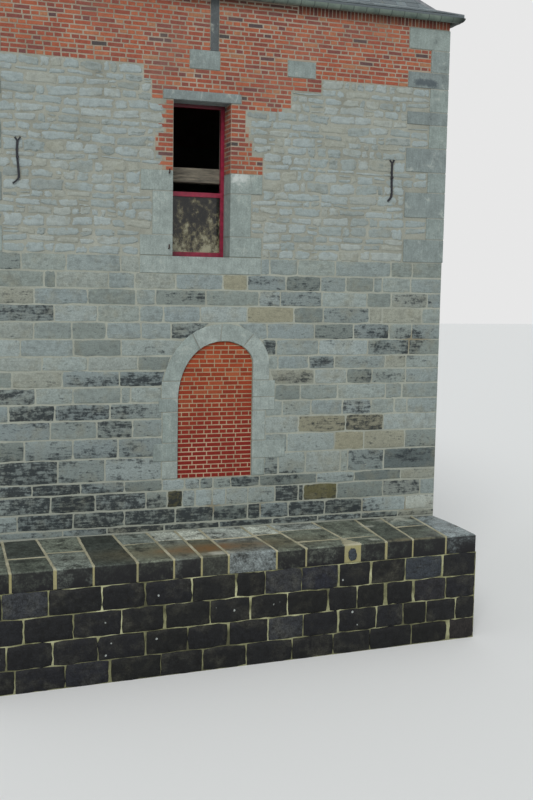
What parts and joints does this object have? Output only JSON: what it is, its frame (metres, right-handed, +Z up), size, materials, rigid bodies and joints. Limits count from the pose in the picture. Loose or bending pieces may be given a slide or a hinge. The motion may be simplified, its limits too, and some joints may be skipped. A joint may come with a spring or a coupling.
{
  "type": "water mill house",
  "caption": "Square water mill house of limestone and brick with a bricked-up arch, red window, bell-cast hipped slate roof and a dark stone plinth at the river",
  "frame": {"origin": "middle of the part's box, plinth and gutters included, at river level", "axes": "+X to the right along the front wall, +Y from the front wall with the arch to the back wall, +Z up"},
  "size_m": [7.33, 10.165, 12.0861],
  "materials": {
    "ashlar": "coursed limestone blocks, worn, with pale lime mortar",
    "rubble": "rough limestone rubble, flush pointed with buff lime mortar",
    "dressed_stone": "tooled blue-grey limestone",
    "plinth_stone": "near-black wet stone blocks with ochre mortar",
    "plinth_slab": "worn flagstones with moss and rust stains",
    "brick": "hand-made red bricks, worn, in lime mortar",
    "arch_brick": "smooth orange-red bricks in grey mortar",
    "slate": "split blue-grey slates",
    "zinc": "weathered zinc with a grey-green bloom",
    "lead": "dull lead sheet",
    "red_paint": "crimson oil paint on timber",
    "glass": "old window glass",
    "old_timber": "silvered, mottled oak",
    "floor_boards": "bare pine boards",
    "iron": "forged iron, dark and slightly rusty"
  },
  "bodies": {
    "root": {"plinth": "plinth_stone", "plinth_slabs": "plinth_slab", "front_wall_lower": "ashlar", "front_wall_upper": "rubble", "front_brick_band": "brick", "right_wall": "rubble", "right_brick_band": "brick", "left_wall": "rubble", "left_brick_band": "brick", "back_wall": "rubble", "back_brick_band": "brick", "quoins_front_right": "dressed_stone", "quoins_front_left": "dressed_stone", "quoins_back_right": "dressed_stone", "quoins_back_left": "dressed_stone", "arch_stones": "dressed_stone", "arch_brick_infill": "arch_brick", "front_window_brickwork": "brick", "front_window_jambs": "dressed_stone", "front_window_lintel": "dressed_stone", "front_window_sill": "dressed_stone", "front_window_frame": "red_paint", "front_window_glass": "glass", "front_window_beam": "old_timber", "right_window_stones": "dressed_stone", "right_window_frame": "red_paint", "right_window_glass": "glass", "left_window_stones": "dressed_stone", "left_window_frame": "red_paint", "left_window_glass": "glass", "back_window_stones": "dressed_stone", "back_window_frame": "red_paint", "back_window_glass": "glass", "wall_anchors": "iron", "wall_blocks": "dressed_stone", "wall_post": "old_timber", "upper_floor": "floor_boards", "roof_front": "slate", "roof_right": "slate", "roof_left": "slate", "roof_back": "slate", "roof_caps": "lead", "gutter_front": "zinc", "gutter_right": "zinc", "gutter_left": "zinc", "gutter_back": "zinc"}
  },
  "joints": []
}
